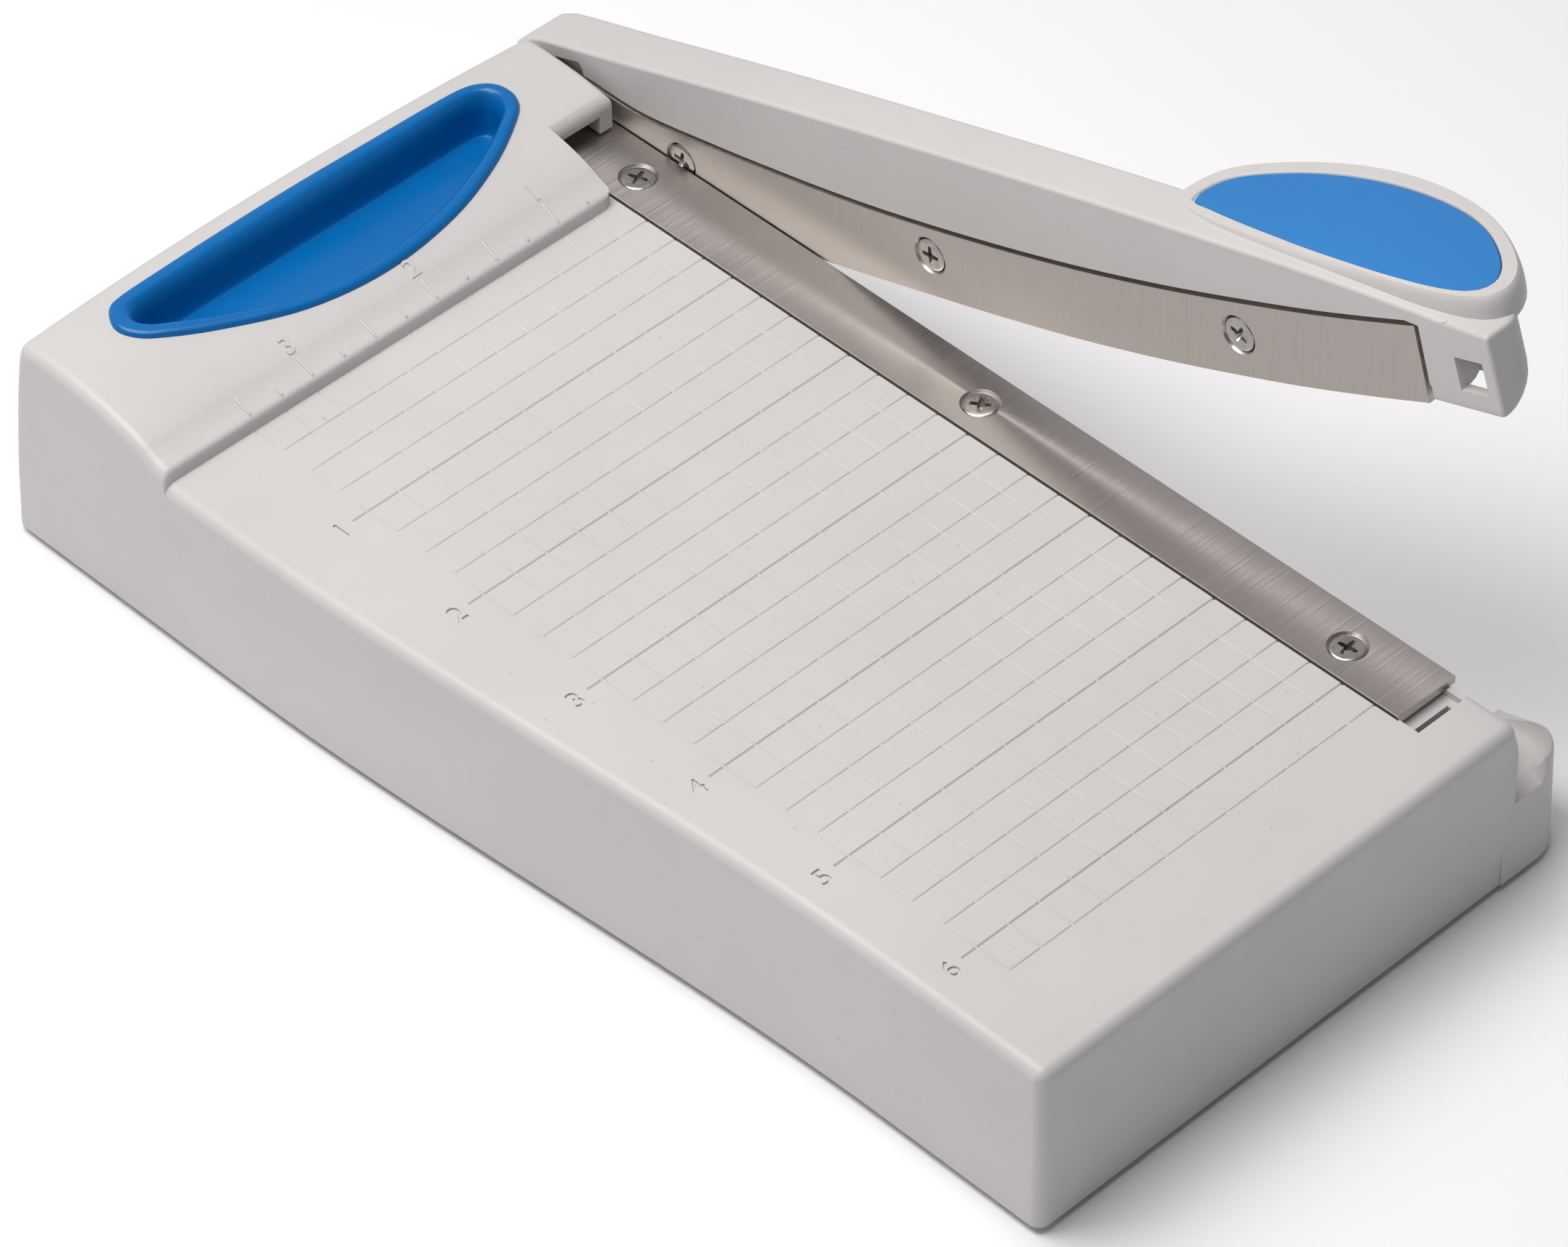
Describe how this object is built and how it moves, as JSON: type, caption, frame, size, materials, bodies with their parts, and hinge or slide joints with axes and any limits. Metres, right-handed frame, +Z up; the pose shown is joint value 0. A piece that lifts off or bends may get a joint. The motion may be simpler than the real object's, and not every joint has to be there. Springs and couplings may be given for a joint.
{
  "type": "small guillotine paper trimmer",
  "caption": "Small desk guillotine for paper: a ruled plastic board with a raised fence and clip tray, a fixed steel strip and a hinged blade arm with a leaf-shaped grip",
  "frame": {"origin": "middle of the bounding box's footprint, on the plane under the rubber feet", "axes": "X across the board towards the cutting arm, Y along the cutting line away from the user's side, Z up from the feet"},
  "size_m": [0.1338, 0.2164, 0.1013],
  "materials": {
    "housing": "satin",
    "tray": "gloss",
    "grip": "satin",
    "blade": "brushed",
    "screws": "polished",
    "hinge": "satin",
    "bush": "satin",
    "cover": "matte",
    "foot": "matte"
  },
  "bodies": {
    "base": {"base_shell": "housing", "storage_tray": "tray", "bottom_cover": "cover", "cover_screw_1": "screws", "cover_screw_2": "screws", "cover_screw_3": "screws", "cover_screw_4": "screws", "rubber_foot_1": "foot", "rubber_foot_2": "foot", "rubber_foot_3": "foot", "rubber_foot_4": "foot", "fixed_blade": "blade", "fixed_blade_screw_1": "screws", "fixed_blade_screw_2": "screws", "fixed_blade_screw_3": "screws", "pivot_bolt": "hinge", "pivot_bush": "bush", "pivot_washer": "hinge", "pivot_end_washer": "hinge", "pivot_nut": "hinge", "pivot_spring": "hinge"},
    "arm": {"arm_shell": "housing", "moving_blade": "blade", "moving_blade_screw_1": "screws", "moving_blade_screw_2": "screws", "moving_blade_screw_3": "screws", "grip_insert": "grip"},
    "latch": {"latch_slide": "cover"}
  },
  "joints": [
    {"name": "arm_hinge", "type": "hinge", "parent": "base", "child": "arm", "pos_m": [0.04018, 0.0953, 0.0288], "axis": [1, 0, 0], "range_deg": [-45, 19.5]},
    {"name": "latch_travel", "type": "slide", "parent": "base", "child": "latch", "axis": [1, 0, 0], "range_m": [0, 0.008]}
  ]
}
